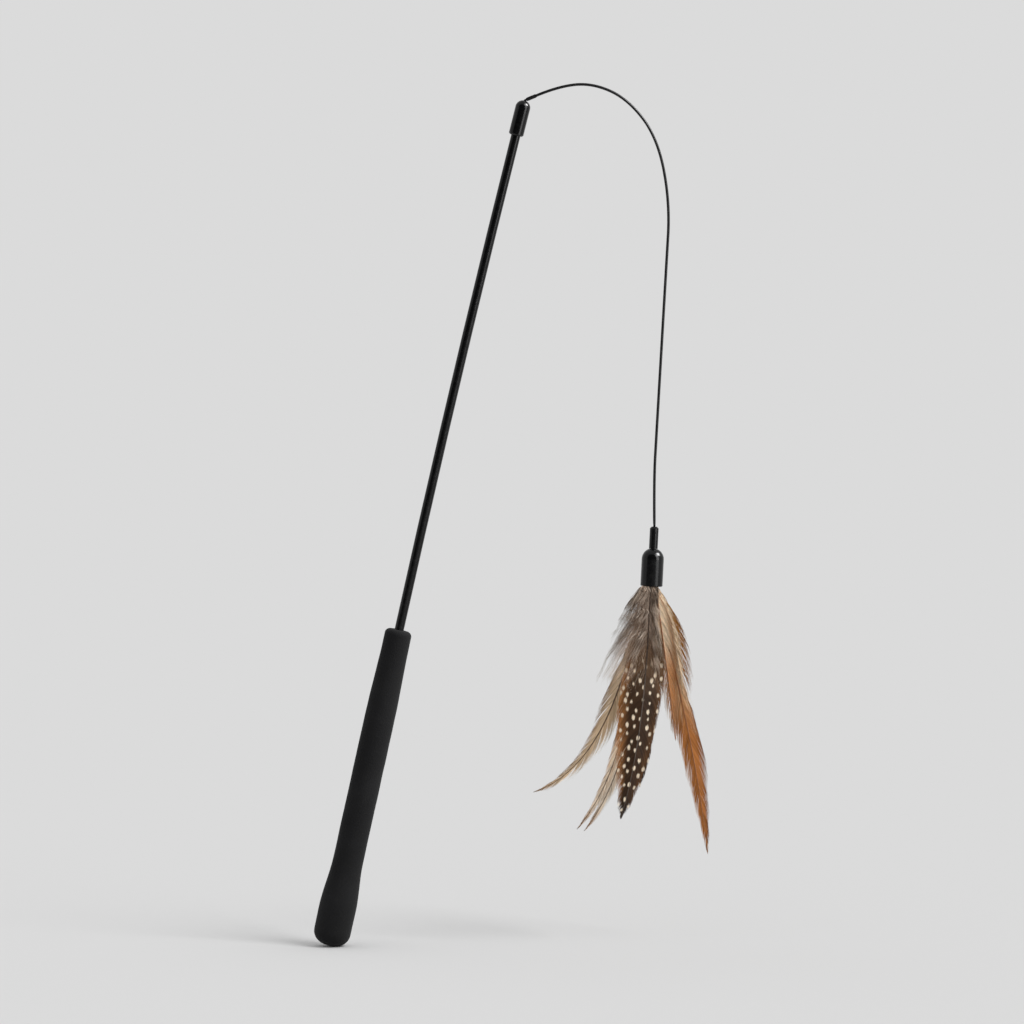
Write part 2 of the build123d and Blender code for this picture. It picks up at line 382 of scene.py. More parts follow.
@dataclass(frozen=True)
class VaneFinish(Finish):
    """A feather's vane or down, coloured by the numbers that its barbs carry.

    share runs from the quill to the tip, barb from the shaft to the edge, across is the signed distance from
    the shaft in millimetres, along the distance from the quill in millimetres, and tone a chance per barb.
    """

    foot: Colour
    body: Colour
    tip: Colour
    edge_left: Colour
    edge_right: Colour
    foot_end: float = 0.3
    tip_start: float = 0.85
    streaks: float = 0.35
    pattern: Pattern = Pattern.PLAIN
    dot: Colour = grey(1.0)
    dot_pitch: float = 5.3
    dot_radius: float = 0.125
    dot_start: float = 0.4
    dot_squeeze: float = 0.62
    dot_scatter: float = 0.6
    dot_growth: float = 0.1
    dot_grain: float = 900.0
    dot_ragged: float = 0.16
    dot_blur: float = 0.06
    dot_fade: float = 0.05
    foot_blend: float = 0.15
    shaft_blend: float = 0.4
    edge_start: float = 0.35
    darkest: float = 0.3
    lightest: float = 1.65
    roughness: float = 0.7
    gloss: float = 0.1

    def paint(self, bench: Bench) -> dict[str, object]:
        """The vane's colour along, across and from barb to barb.

        Args:
            bench: The material's node bench.

        Returns:
            The shader's inputs, by name.
        """
        share, barb, across, tone = map(bench.attribute, ("share", "barb", "across", "tone"))
        above_foot = bench.ramp(share, self.foot_end - self.foot_blend, self.foot_end + self.foot_blend)
        colour = bench.mix(above_foot, self.foot, self.body)
        side = bench.mix(bench.ramp(across, -self.shaft_blend, self.shaft_blend), self.edge_left, self.edge_right)
        colour = bench.mix(bench.ramp(barb, self.edge_start, 1.0), colour, side)
        colour = bench.mix(bench.ramp(share, self.tip_start, 1.0), colour, self.tip)
        light = bench.mix(bench.ramp(tone, 0.0, 1.0), grey(self.darkest), grey(self.lightest))
        colour = bench.mix(self.streaks, colour, light, "MULTIPLY")
        if self.pattern is Pattern.DOTTED:
            colour = bench.mix(self.dots(bench, share, across), colour, self.dot)
        return {"Base Color": colour, "Roughness": self.roughness, "Specular IOR Level": self.gloss}

    def dots(self, bench: Bench, share: Value, across: Value) -> Value:
        """Pale dots in staggered rows on both sides of the shaft.

        Args:
            bench: The material's node bench.
            share: Share of the feather's length.
            across: Signed distance from the shaft, in millimetres.

        Returns:
            1 on a dot and 0 between dots.
        """
        along = bench.attribute("along") * self.dot_squeeze
        corner = {"X": (along + across) / self.dot_pitch, "Y": (along - across) / self.dot_pitch}
        place = bench.read(bench.add("ShaderNodeCombineXYZ", corner), "Vector")
        spread = {"Vector": place, "Scale": 1.0, "Randomness": self.dot_scatter}
        cells = bench.add("ShaderNodeTexVoronoi", spread, voronoi_dimensions="2D")
        luck = Value(bench, bench.add("ShaderNodeSeparateColor", {"Color": bench.read(cells, "Color")}).outputs[0])
        uneven = bench.read(cells, "Distance") - luck * self.dot_growth
        uneven = uneven + bench.grain(self.dot_grain) * self.dot_ragged - self.dot_ragged / 2
        spot = 1.0 - bench.ramp(uneven, self.dot_radius - self.dot_blur, self.dot_radius + self.dot_blur)
        return spot * bench.ramp(share, self.dot_start - self.dot_fade, self.dot_start + self.dot_fade)


FOAM = FoamFinish("black_foam", tint(17, 17, 18), tint(28, 28, 29))
ROD_GLOSS = GlossFinish("rod_lacquer", tint(9, 9, 10), 0.2, 0.32)
CAP_GLOSS = GlossFinish("moulded_gloss", tint(10, 10, 11), 0.18, 0.3)
WIRE_COAT = GlossFinish("wire_coating", tint(14, 14, 15), 0.34, 0.5, 900.0)
BRASS = PlainFinish("bead_brass", tint(190, 160, 95), tint(160, 130, 75), 0.3, 1.0)
GLUE = PlainFinish("set_glue", tint(84, 72, 60), tint(60, 50, 42), 0.45)
DARK_SHAFT = PlainFinish("dark_shaft", tint(70, 48, 34), tint(96, 70, 48), 0.4)
PALE_SHAFT = PlainFinish("pale_shaft", tint(196, 172, 144), tint(160, 132, 104), 0.4)
GUINEA_SHAFT = PlainFinish("guinea_shaft", tint(92, 76, 64), tint(54, 42, 34), 0.4)
RUST_SHAFT = PlainFinish("rust_shaft", tint(156, 98, 50), tint(126, 76, 38), 0.4)
GUINEA_VANE = VaneFinish(
    "guinea_vane", tint(124, 100, 79), tint(58, 40, 26), tint(48, 39, 33), tint(172, 116, 68), tint(104, 71, 44),
    foot_end=0.36, streaks=0.5, pattern=Pattern.DOTTED, dot=tint(234, 216, 190), dot_start=0.33,
)
# The down's darker foot by the bell's mouth and its darker barbs by the shaft, under much paler edges, are partly its
# own grey-brown and partly painted shade of the quills and the mouth.
GUINEA_DOWN = VaneFinish(
    "guinea_down", tint(158, 139, 123), tint(178, 153, 133), tint(158, 129, 106), tint(244, 226, 208),
    tint(218, 198, 176), foot_end=0.2, streaks=1.0,
)
GUINEA_HAIR = VaneFinish(
    "guinea_hair", tint(192, 175, 160), tint(208, 190, 174), tint(190, 170, 152), tint(222, 206, 190),
    tint(214, 196, 178), streaks=0.4,
)
RUST_VANE = VaneFinish(
    "rust_vane", tint(216, 178, 136), tint(156, 98, 50), tint(140, 112, 84), tint(182, 124, 72), tint(116, 70, 37),
    foot_end=0.42, tip_start=0.92, streaks=0.6,
)
INNER_VANE = VaneFinish(
    "rust_inner_vane", tint(224, 200, 170), tint(190, 134, 86), tint(164, 104, 58), tint(220, 182, 140),
    tint(178, 122, 74), foot_end=0.45, streaks=0.7,
)
GOLD_VANE = VaneFinish(
    "gold_vane", tint(206, 176, 134), tint(160, 110, 54), tint(196, 144, 92), tint(204, 164, 116), tint(146, 98, 46),
    foot_end=0.25, streaks=0.6,
)
CREAM_VANE = VaneFinish(
    "cream_vane", tint(226, 204, 176), tint(220, 196, 164), tint(214, 176, 132), tint(232, 214, 188),
    tint(236, 222, 200), streaks=0.85,
)
TAN_VANE = VaneFinish(
    "tan_vane", tint(206, 180, 148), tint(214, 188, 156), tint(166, 128, 90), tint(152, 120, 86), tint(252, 246, 236),
    tip_start=0.88, streaks=0.5,
)
PALE_VANE = VaneFinish(
    "pale_tan_vane", tint(208, 184, 154), tint(234, 216, 194), tint(160, 122, 88), tint(206, 178, 148),
    tint(255, 250, 242), tip_start=0.86, streaks=0.7,
)


def new_object(name: str, data: ID) -> Object:
    """An object at the origin of the scene.

    Args:
        name: The object's name.
        data: Its mesh, curve, light or camera.

    Returns:
        The new object.
    """
    thing = bpy.data.objects.new(name, data)
    bpy.context.scene.collection.objects.link(thing)
    return thing


def lofted(name: str, rings: Sequence[Sequence[Vector]]) -> Object:
    """A closed smooth skin over rings of points, with a flat face on the first and last.

    Args:
        name: The object's name.
        rings: The rings, each with the same number of points, in the same turning sense.

    Returns:
        The new object.
    """
    shape = bmesh.new()
    rows = [[shape.verts.new(point) for point in ring] for ring in rings]
    for row, following in zip(rows, rows[1:]):
        for index, corner in enumerate(row):
            other = (index + 1) % len(row)
            shape.faces.new((corner, row[other], following[other], following[index])).smooth = True
    shape.faces.new(reversed(rows[0]))
    shape.faces.new(rows[-1])
    bmesh.ops.recalc_face_normals(shape, faces=shape.faces)
    mesh = bpy.data.meshes.new(name)
    shape.to_mesh(mesh)
    shape.free()
    return new_object(name, mesh)


def tube(name: str, path: Sequence[Vector], radii: Sequence[float], flat: Vector, sides: int) -> Object:
    """A round tube along a path that lies in one plane.

    Args:
        name: The object's name.
        path: The points that the tube follows.
        radii: The tube's radius at each point.
        flat: The normal of the plane that the path lies in.
        sides: How many sides the tube has.

    Returns:
        The new object.
    """
    rings = []
    for index, (point, radius) in enumerate(zip(path, radii)):
        heading = (path[min(index + 1, len(path) - 1)] - path[max(index - 1, 0)]).normalized()
        across = heading.cross(flat).normalized()
        turns = [2 * math.pi * side / sides for side in range(sides)]
        rings.append([point + (across * math.cos(turn) + flat * math.sin(turn)) * radius for turn in turns])
    return lofted(name, rings)


def dress(node: str, finish: Finish) -> None:
    """Gives a CAD node its finish and logs it.

    Args:
        node: The node's name.
        finish: The finish.
    """
    shown = frame["nodes"][node]
    shown.data.materials.clear()
    shown.data.materials.append(finish.material())
    log.info("dressed %s in %s", node, finish.name)


@dataclass
class Handle:
    """The held end: foam grip, rod and tip cap."""

    grip_lean: float = 12.5
    half_length: float = 0.087
    bore_radius: float = 0.0025
    bore_floor: float = 0.063
    lump: float = 0.00012
    lump_scale: float = 90.0
    sides: int = 72
    rows: int = 110
    profile: tuple[Pair, ...] = (
        (-0.0786, 0.01000), (-0.0665, 0.01000), (-0.0395, 0.00815), (0.0350, 0.00812), (0.0844, 0.00720),
    )
    foot_round: float = 0.0084
    foot_squareness: float = 2.3
    top_round: float = 0.0026

    def radius_at(self, height: float) -> float:
        """The grip's radius at a height on its axis, on a smooth line through its measured places.

        Args:
            height: Height above the grip's middle.

        Returns:
            The radius.
        """
        low, high = self.profile[0], self.profile[-1]
        if height <= low[0]:
            fall = min(1.0, (low[0] - height) / self.foot_round)
            return low[1] * (1 - fall**self.foot_squareness) ** (1 / self.foot_squareness)
        if height >= high[0]:
            rise = min(1.0, (height - high[0]) / self.top_round)
            return high[1] - self.top_round * (1 - math.sqrt(1 - rise * rise))
        return eased(self.profile, height)

    def heights(self) -> list[float]:
        """Heights for the grip's rings, closer together at its rounded ends."""
        steps = [step / self.rows for step in range(self.rows + 1)]
        return [-self.half_length * math.cos(math.pi * step) for step in steps]

    def ring(self, height: float, radius: float, uneven: float) -> list[Vector]:
        """A ring of points round the grip's axis.

        Args:
            height: Height above the grip's middle.
            radius: The ring's radius.
            uneven: How far hand-sized lumps move its points.

        Returns:
            The points.
        """
        lean = math.radians(self.grip_lean)
        up = Vector((math.sin(lean), 0.0, math.cos(lean)))
        side = Y_AXIS.cross(up)
        points = []
        for step in range(self.sides):
            turn = 2 * math.pi * step / self.sides
            way = side * math.cos(turn) + Y_AXIS * math.sin(turn)
            place = up * height + way * radius
            points.append(place + way * (uneven * noise.noise(place * self.lump_scale)))
        return points

    def build(self) -> None:
        """Makes the foam grip, with its bore, and dresses the rod and the cap."""
        rings = [self.ring(height, self.radius_at(height), self.lump) for height in self.heights()]
        rings.append(self.ring(self.half_length, self.bore_radius, 0.0))
        rings.append(self.ring(-self.bore_floor, self.bore_radius, 0.0))
        grip = lofted("grip_foam", rings)
        grip.data.materials.append(FOAM.material())
        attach(grip, "wand")
        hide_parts("foam_grip")
        log.info("built %s", grip.name)
        dress("rod", ROD_GLOSS)
        dress("tip_cap", CAP_GLOSS)


@dataclass
class TipWire:
    """The swivel at the tip and the springy wire that arches over to the lure."""

    diameter: float = 0.0015
    clamped: float = 0.0012
    thinning: float = 0.003
    length: float = 0.2854
    sides: int = 12
    smoothness: int = 20
    bend_reach: float = 0.04
    route: tuple[Pair, ...] = (
        (0.0, 0.0), (0.0120, 0.0050), (0.0300, 0.0068), (0.0490, -0.0016), (0.0650, -0.0225), (0.0716, -0.0570),
        (0.0696, -0.0921), (0.0646, -0.1795), (0.0632, -0.2048), (0.0635, -0.2301),
    )

    def centreline(self, start: Vector) -> list[Vector]:
        """Points along the wire's smooth line.

        Args:
            start: Where the wire leaves the tip sleeve.

        Returns:
            The points, from the sleeve to the lure's neck.
        """
        curve = bpy.data.curves.new("wire_route", "CURVE")
        curve.dimensions = "3D"
        spline = curve.splines.new("NURBS")
        spline.points.add(len(self.route) - 1)
        for point, (right, up) in zip(spline.points, self.route):
            point.co = (start.x + right, start.y, start.z + up, 1.0)
        spline.order_u = 3
        spline.use_endpoint_u = True
        spline.resolution_u = self.smoothness
        holder = new_object("wire_route", curve)
        line = bpy.data.meshes.new_from_object(holder)
        points = [vertex.co.copy() for vertex in line.vertices]
        bpy.data.objects.remove(holder)
        return points

    def radius(self, to_neck: float) -> float:
        """The wire's radius at a distance from the neck, in whose mouth it thins to leave room for the swing."""
        return (self.clamped + (self.diameter - self.clamped) * min(to_neck / self.thinning, 1.0)) / 2

    def build(self) -> None:
        """Makes the wire as a tube along its route and dresses the swivel's pieces."""
        start = Vector(joint_named("wire_flex")["pos_m"])
        path = self.centreline(start)
        radii = [self.radius((path[-1] - point).length) for point in path]
        wire = tube("springy_wire", path, radii, Y_AXIS, self.sides)
        wire.data.materials.append(WIRE_COAT.material())
        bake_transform(wire)
        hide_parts("wire")
        log.info("built %s", wire.name)
        for node in ("tip_sleeve", "wire_tail", "neck_tail"):
            dress(node, WIRE_COAT)
        for node in ("swivel_bead", "swivel_stop"):
            dress(node, BRASS)


STATIONS = (0.0, 0.06, 0.18, 0.32, 0.43, 0.52, 0.68, 0.82, 0.93, 1.0)


class Outline(Enum):
    """How far a feather's vane reaches at each station along its shaft, as shares of its half width."""

    DOWNY = (0.3, 0.72, 1.15, 1.45, 1.9, 1.0, 1.0, 0.74, 0.4, 0.03)
    SOFT = (0.3, 0.4, 0.6, 0.85, 0.98, 1.0, 0.92, 0.62, 0.3, 0.03)
    BROAD = (0.05, 0.3, 0.6, 0.9, 1.08, 1.12, 1.04, 0.7, 0.36, 0.03)
    NARROW = (0.05, 0.3, 0.6, 0.85, 0.92, 0.82, 0.64, 0.5, 0.3, 0.03)
    HACKLE = (0.05, 0.3, 0.7, 0.96, 1.0, 0.95, 0.75, 0.5, 0.26, 0.04)
    LATE = (0.05, 0.22, 0.4, 0.62, 0.9, 1.0, 0.85, 0.55, 0.27, 0.04)
    KNEE = (0.05, 0.15, 0.25, 0.38, 0.55, 0.76, 0.94, 0.6, 0.29, 0.04)
    HIP = (0.05, 0.2, 0.35, 0.75, 1.35, 1.55, 0.95, 0.55, 0.27, 0.04)
    BRUSH = (0.05, 0.3, 0.6, 0.82, 0.96, 1.0, 1.02, 0.9, 0.6, 0.1)

    def reach(self, share: float) -> float:
        """The outline's reach at a share of the feather's length, as a share of its half width."""
        return eased(list(zip(STATIONS, self.value)), share)


class Side(Enum):
    """A side of a feather's shaft, seen from the front."""

    LEFT = -1.0
    RIGHT = 1.0


@dataclass(frozen=True)
class BarbRow:
    """One row of barbs on one side of a shaft; each barb's tip lies on the feather's outline.

    start and end are shares of the shaft, splay is the barbs' angle to it and cover how many lie over one another.
    lift and stray are how far tips leave the vane, and camber is how far its edge bends back.
    """

    finish: Finish
    outline: Outline = Outline.HACKLE
    count: int = 300
    start: float = 0.05
    end: float = 0.998
    reach: float = 1.0
    splay_foot: float = 30.0
    splay_tip: float = 10.0
    cover: float = 3.0
    thickness: float = 0.00013
    ragged: float = 0.1
    clumps: float = 20.0
    pull: float = 0.3
    lift: float = 0.0004
    stray: float = 0.0004
    camber: float = 0.28


@dataclass
class BarbTree(Bench):
    """The node tree that grows one row of barbs along a feather's shaft, with the numbers that all barbs share.

    Its geometry is the shaft's line, a row of points that carry the outline's reach. Each barb is a thin tapered
    rod that leaves the shaft, bends towards the tip and ends on the outline, drawn to its clump's middle. A barb
    whose root would lie above the bell's mouth starts in the mouth.
    """

    tree: NodeTree = field(default_factory=lambda: bpy.data.node_groups.new("barb_row", "GeometryNodeTree"))
    rod_sides: int = 4
    rod_rings: int = 7
    spacing_luck: float = 0.8
    sweep: float = 1.15
    bow: float = 1.5
    taper: float = 0.75
    shortest: float = 0.2
    least_room: float = 0.00001
    clump_shift: float = 0.37
    clump_seed: float = 7.0
    clump_ragged: float = 0.8
    swirl_scale: float = 160.0
    own_stray: float = 0.7
    own_tone: float = 0.6

    def stored(self, geometry: object, name: str, kind: str, value: object) -> NodeSocket:
        """The geometry with a named number or vector stored on its points."""
        inputs = {"Geometry": geometry, "Name": name, "Value": value}
        return self.add("GeometryNodeStoreNamedAttribute", inputs, data_type=kind, domain="POINT").outputs["Geometry"]

    def named(self, name: str, kind: str = "FLOAT") -> Value:
        """A named number or vector of the geometry."""
        node = self.add("GeometryNodeInputNamedAttribute", {"Name": name}, data_type=kind)
        return Value(self, node.outputs["Attribute"])

    def split(self, vector: Value) -> list[Value]:
        """A vector's three parts."""
        return [Value(self, socket) for socket in self.add("ShaderNodeSeparateXYZ", {"Vector": vector}).outputs]

    def ask(self) -> SimpleNamespace:
        """Makes the tree's inputs, many with the names of a row's fields, and its output.

        Returns:
            The inputs.
        """
        kinds = {"geometry": "Geometry", "count": "Int", "seed": "Int", "front": "Vector", "material": "Material"}
        numbers = (
            "side", "start", "end", "length", "splay_foot", "splay_tip", "width", "thickness", "ragged", "clumps",
            "pull", "lift", "stray", "camber", "mouth",
        )
        for name, kind in {**kinds, **dict.fromkeys(numbers, "Float")}.items():
            self.tree.interface.new_socket(name, in_out="INPUT", socket_type=f"NodeSocket{kind}")
        self.tree.interface.new_socket("Geometry", in_out="OUTPUT", socket_type="NodeSocketGeometry")
        outputs = self.add("NodeGroupInput").outputs
        return SimpleNamespace(**{socket.name: Value(self, socket) for socket in outputs if socket.name})

    def rods(self, given: SimpleNamespace) -> NodeSocket:
        """Makes one straight rod of unit size for each barb, with its station on the shaft and its chance.

        Args:
            given: The tree's inputs.

        Returns:
            The rods.
        """
        row = self.add("GeometryNodeMeshLine", {"Count": given.count, "Offset": (0.0, 0.0, 0.0)}).outputs["Mesh"]
        limits = {"Min": (0.0, 0.0, 0.0), "Max": (1.0, 1.0, 1.0), "Seed": given.seed}
        chance = self.read(self.add("FunctionNodeRandomValue", limits, data_type="FLOAT_VECTOR"), "Value")
        order = Value(self, self.add("GeometryNodeInputIndex").outputs[0])
        steps = order + self.split(chance)[1] * self.spacing_luck
        station = given.start + (given.end - given.start) * steps / given.count
        row = self.stored(self.stored(row, "station", "FLOAT", station), "chance", "FLOAT_VECTOR", chance)
        size = {"Vertices": self.rod_sides, "Side Segments": self.rod_rings, "Radius": 1.0, "Depth": 1.0}
        rod = self.add("GeometryNodeMeshCylinder", size, fill_type="NGON").outputs["Mesh"]
        placed = self.add("GeometryNodeInstanceOnPoints", {"Points": row, "Instance": rod}).outputs["Instances"]
        return self.add("GeometryNodeRealizeInstances", {"Geometry": placed}).outputs["Geometry"]

    def build(self) -> NodeTree:
        """Makes the tree's nodes.

        Returns:
            The tree.
        """
        given = self.ask()
        points = self.add("GeometryNodeMeshToPoints", {"Mesh": given.geometry}).outputs["Points"]
        shaft = self.add("GeometryNodePointsToCurves", {"Points": points}).outputs["Curves"]
        barbs = self.rods(given)
        wide, deep, height = self.split(Value(self, self.add("GeometryNodeInputPosition").outputs[0]))
        along_barb = height + 0.5
        # The run from a barb's root on the shaft to its tip on the outline.
        station = self.named("station")
        first, _, third = self.split(self.named("chance", "FLOAT_VECTOR"))
        sampled = {"Curves": shaft, "Value": self.named("reach"), "Factor": station}
        full = self.read(self.add("GeometryNodeSampleCurve", sampled, mode="FACTOR"), "Value")
        splay = given.splay_foot + (given.splay_tip - given.splay_foot) * station
        run = full / self.math("TANGENT", self.math("RADIANS", splay)) / given.length
        begin = self.math("MAXIMUM", 1.0 - station / run, 0.0) ** (1.0 / self.sweep)
        reached = begin + (1.0 - begin) * along_barb
        # The clump that draws its tip and shortens it.
        shift = given.side * self.clump_shift
        clump = self.math("FLOOR", station * given.clumps + shift)
        middle = (clump + 0.5 - shift) / given.clumps
        chosen = {"W": clump + given.seed * self.clump_seed}
        luck = self.read(self.add("ShaderNodeTexWhiteNoise", chosen, noise_dimensions="1D"), "Value")
        tip = station + (middle - station) * (given.pull * along_barb * along_barb)
        ragged = given.ragged * (first * first + luck * self.clump_ragged)
        reach = full * self.math("MAXIMUM", 1.0 - ragged, self.shortest)
        # Its share of the shaft and its distance from it, which starts within the mouth.
        root = station - run
        share = self.math("MINIMUM", root + (tip - root) * reached**self.sweep, 1.0)
        share = self.math("MAXIMUM", share, 0.0)
        first_out = reach * (1.0 - (1.0 - begin) ** self.bow)
        kept = self.math("MINIMUM", first_out, given.mouth)
        room = self.math("MAXIMUM", reach - first_out, self.least_room)
        out = kept + (reach * (1.0 - (1.0 - reached) ** self.bow) - first_out) * (reach - kept) / room
        line = self.add("GeometryNodeSampleCurve", {"Curves": shaft, "Factor": share}, mode="FACTOR")
        place, heading = self.read(line, "Position"), self.read(line, "Tangent")
        # Its place: out from the shaft, off the vane, its own thickness, and astray.
        across = self.vector("CROSS_PRODUCT", given.front, heading)
        taper = 1.0 - along_barb * along_barb * self.taper
        lifted = given.lift * (third - 0.5) * 2.0 * along_barb - out * given.camber
        swirl = self.add("ShaderNodeTexNoise", {"Vector": place, "Scale": self.swirl_scale, "Detail": 1.0})
        own = self.vector("SCALE", self.named("chance", "FLOAT_VECTOR"), self.own_stray)
        mean = 0.5 + self.own_stray / 2
        jolt = self.vector("SUBTRACT", self.vector("ADD", self.read(swirl, "Color"), own), (mean, mean, mean))
        for way, amount in (
            (across, out * given.side),
            (given.front, lifted + deep * given.thickness * 0.5 * taper),
            (heading, wide * given.width * 0.5 * taper),
            (jolt, given.stray * along_barb),
        ):
            place = self.vector("ADD", place, self.vector("SCALE", way, amount))
        for name, value in (
            ("share", share),
            ("barb", reached),
            ("across", out * given.side * MILLIMETRES),
            ("along", share * given.length * MILLIMETRES),
            ("tone", first * self.own_tone + luck * (1.0 - self.own_tone)),
        ):
            barbs = self.stored(barbs, name, "FLOAT", value)
        moved = self.add("GeometryNodeSetPosition", {"Geometry": barbs, "Position": place}).outputs["Geometry"]
        dressed = self.add("GeometryNodeSetMaterial", {"Geometry": moved, "Material": given.material})
        self.feed(self.add("NodeGroupOutput").inputs["Geometry"], dressed.outputs["Geometry"])
        return self.tree


@dataclass
class Plume:
    """One feather of the lure: where its quill stands, how it hangs, its outline and its rows of barbs."""

    name: str
    slot: str
    side_share: float
    back_share: float
    length: float
    half_width: float
    lean: float
    curl: float
    curl_power: float
    fan: float
    shaft: Finish
    left_rows: tuple[BarbRow, ...]
    right_rows: tuple[BarbRow, ...]
    quill_radius: float = 0.00055
    quill_taper: float = 0.8
    quill_sides: int = 6
    quill_up: float = 0.0016
    steps: int = 60

    def line(self, lure: "Lure") -> list[Vector]:
        """Points along the feather's shaft, from its quill to its tip.

        Args:
            lure: The lure that holds it.

        Returns:
            The points.
        """
        fan = math.radians(self.fan)
        down = lure.back * math.sin(fan) - lure.up * math.cos(fan)
        place = lure.pivot - lure.up * lure.shaft_drop
        place += (lure.side * self.side_share + lure.back * self.back_share) * lure.plug_radius
        points = [place.copy()]
        for step in range(self.steps):
            share = (step + 0.5) / self.steps
            lean = math.radians(self.lean + self.curl * share**self.curl_power)
            place = place + (lure.side * math.sin(lean) + down * math.cos(lean)) * (self.length / self.steps)
            points.append(place.copy())
        return points

    def front(self, lure: "Lure") -> Vector:
        """The way that the feather's front face looks."""
        fan = math.radians(self.fan)
        return -lure.back * math.cos(fan) - lure.up * math.sin(fan)

    def grow(self, lure: "Lure", row: BarbRow, side: Side, seed: int) -> Object:
        """Grows one row of barbs with the barb tree.

        Args:
            lure: The lure that holds the feather.
            row: The row.
            side: The side of the shaft.
            seed: The row's chance.

        Returns:
            The barbs, as a plain mesh object.
        """
        points = self.line(lure)
        mesh = bpy.data.meshes.new(f"{self.name}_line")
        mesh.from_pydata(points, [], [])
        width = row.reach * self.half_width
        reaches = [width * row.outline.reach(step / self.steps) for step in range(self.steps + 1)]
        mesh.attributes.new("reach", "FLOAT", "POINT").data.foreach_set("value", reaches)
        holder = new_object(f"{self.name}_row", mesh)
        modifier = holder.modifiers.new("barbs", "NODES")
        modifier.node_group = lure.tree
        settings = {
            **vars(row), "seed": seed, "side": side.value, "length": self.length,
            "width": row.cover * self.length * (row.end - row.start) / row.count,
            "mouth": lure.plug_radius * (lure.mouth_share - side.value * self.side_share),
            "front": tuple(self.front(lure)), "material": row.finish.material(),
        }
        for item in lure.tree.interface.items_tree:
            if item.name in settings:
                modifier[item.identifier] = settings[item.name]
        depsgraph = bpy.context.evaluated_depsgraph_get()
        grown = bpy.data.meshes.new_from_object(holder.evaluated_get(depsgraph), depsgraph=depsgraph)
        holder.modifiers.remove(modifier)
        holder.data = grown
        return holder

    def build(self, lure: "Lure", seed: int) -> None:
        """Makes the feather and puts it in its CAD node's place.

        Args:
            lure: The lure that holds it.
            seed: The feather's chance.
        """
        points = self.line(lure)
        points.insert(0, points[0] + lure.up * self.quill_up)
        count = len(points)
        radii = [self.quill_radius * (1 - self.quill_taper * index / count) for index in range(count)]
        plume = tube(f"{self.name}_feather", points, radii, self.front(lure), self.quill_sides)
        plume.data.materials.append(self.shaft.material())
        rows = [(row, Side.LEFT) for row in self.left_rows] + [(row, Side.RIGHT) for row in self.right_rows]
        grown = [self.grow(lure, row, side, seed + index) for index, (row, side) in enumerate(rows)]
        with bpy.context.temp_override(active_object=plume, selected_editable_objects=[plume, *grown]):
            bpy.ops.object.join()
        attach(plume, "lure")
        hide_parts(self.name)
        log.info("built %s with %d faces", plume.name, len(plume.data.polygons))


GUINEA_LEFT = BarbRow(
    GUINEA_VANE, Outline.BROAD, count=340, start=0.26, splay_foot=42.0, splay_tip=22.0, cover=4.2, ragged=0.05,
    clumps=34.0, pull=0.2,
)
GUINEA_RIGHT = replace(GUINEA_LEFT, outline=Outline.NARROW)
BEHIND_LEFT = BarbRow(
    GUINEA_VANE, Outline.NARROW, start=0.3, reach=0.85, splay_foot=40.0, splay_tip=22.0, clumps=34.0, pull=0.2,
)
BEHIND_RIGHT = replace(BEHIND_LEFT, reach=0.72)
DOWN_LEFT = BarbRow(
    GUINEA_DOWN, Outline.DOWNY, count=760, start=0.02, end=0.48, reach=1.15, splay_foot=27.0, splay_tip=38.0, cover=2.6,
    thickness=0.0002, ragged=0.4, clumps=26.0, pull=0.6, lift=0.005, stray=0.0055, camber=-0.05,
)
DOWN_RIGHT = BarbRow(
    GUINEA_DOWN, Outline.SOFT, count=520, start=0.02, end=0.42, splay_foot=24.0, splay_tip=26.0, cover=2.0,
    thickness=0.0002, ragged=0.65, clumps=17.0, pull=0.5, lift=0.004, stray=0.004, camber=-0.1,
)
PALE_HAIRS = BarbRow(
    GUINEA_HAIR, Outline.SOFT, count=90, start=0.05, end=0.44, splay_foot=20.0, splay_tip=24.0, cover=0.8,
    thickness=0.0003, ragged=0.5, pull=0.6, lift=0.003, stray=0.008, camber=-0.42,
)
FUZZ_ROW = BarbRow(
    GUINEA_HAIR, Outline.DOWNY, count=170, start=0.03, end=0.47, reach=1.22, splay_foot=32.0, splay_tip=44.0, cover=0.3,
    thickness=0.00012, ragged=0.5, clumps=14.0, lift=0.005, stray=0.005, camber=-0.1,
)
RUST_LEFT = BarbRow(RUST_VANE, Outline.LATE, reach=1.1, splay_foot=26.0, splay_tip=11.0, clumps=15.0, pull=0.22)
RUST_RIGHT = replace(RUST_LEFT, outline=Outline.KNEE)
INNER_ROW = BarbRow(INNER_VANE, reach=1.05, splay_foot=26.0, splay_tip=12.0, cover=2.2, ragged=0.3)
GOLD_LEFT = BarbRow(GOLD_VANE, count=220, splay_foot=28.0, splay_tip=13.0, ragged=0.2)
GOLD_RIGHT = BarbRow(GOLD_VANE, Outline.BRUSH, count=240, reach=1.5, splay_foot=30.0, splay_tip=14.0, ragged=0.3)
CREAM_ROW = replace(GOLD_LEFT, finish=CREAM_VANE, count=200, cover=2.0, ragged=0.4, pull=0.6, stray=0.0012)
HAIR_ROW = BarbRow(
    CREAM_VANE, Outline.LATE, count=90, start=0.12, end=0.6, reach=1.25, splay_foot=16.0, splay_tip=12.0, cover=0.5,
    ragged=0.5, pull=0.2, lift=0.002, stray=0.002, camber=-0.2,
)
TAN_UPPER = BarbRow(TAN_VANE, Outline.HIP, reach=0.68, splay_foot=24.0, splay_tip=9.0, pull=0.2)
TAN_LOWER = BarbRow(TAN_VANE, Outline.LATE, reach=1.4, splay_foot=28.0, splay_tip=11.0, ragged=0.25, pull=0.25)
PALE_UPPER = replace(TAN_UPPER, finish=PALE_VANE, outline=Outline.LATE, reach=0.75)
PALE_LOWER = replace(TAN_LOWER, finish=PALE_VANE)

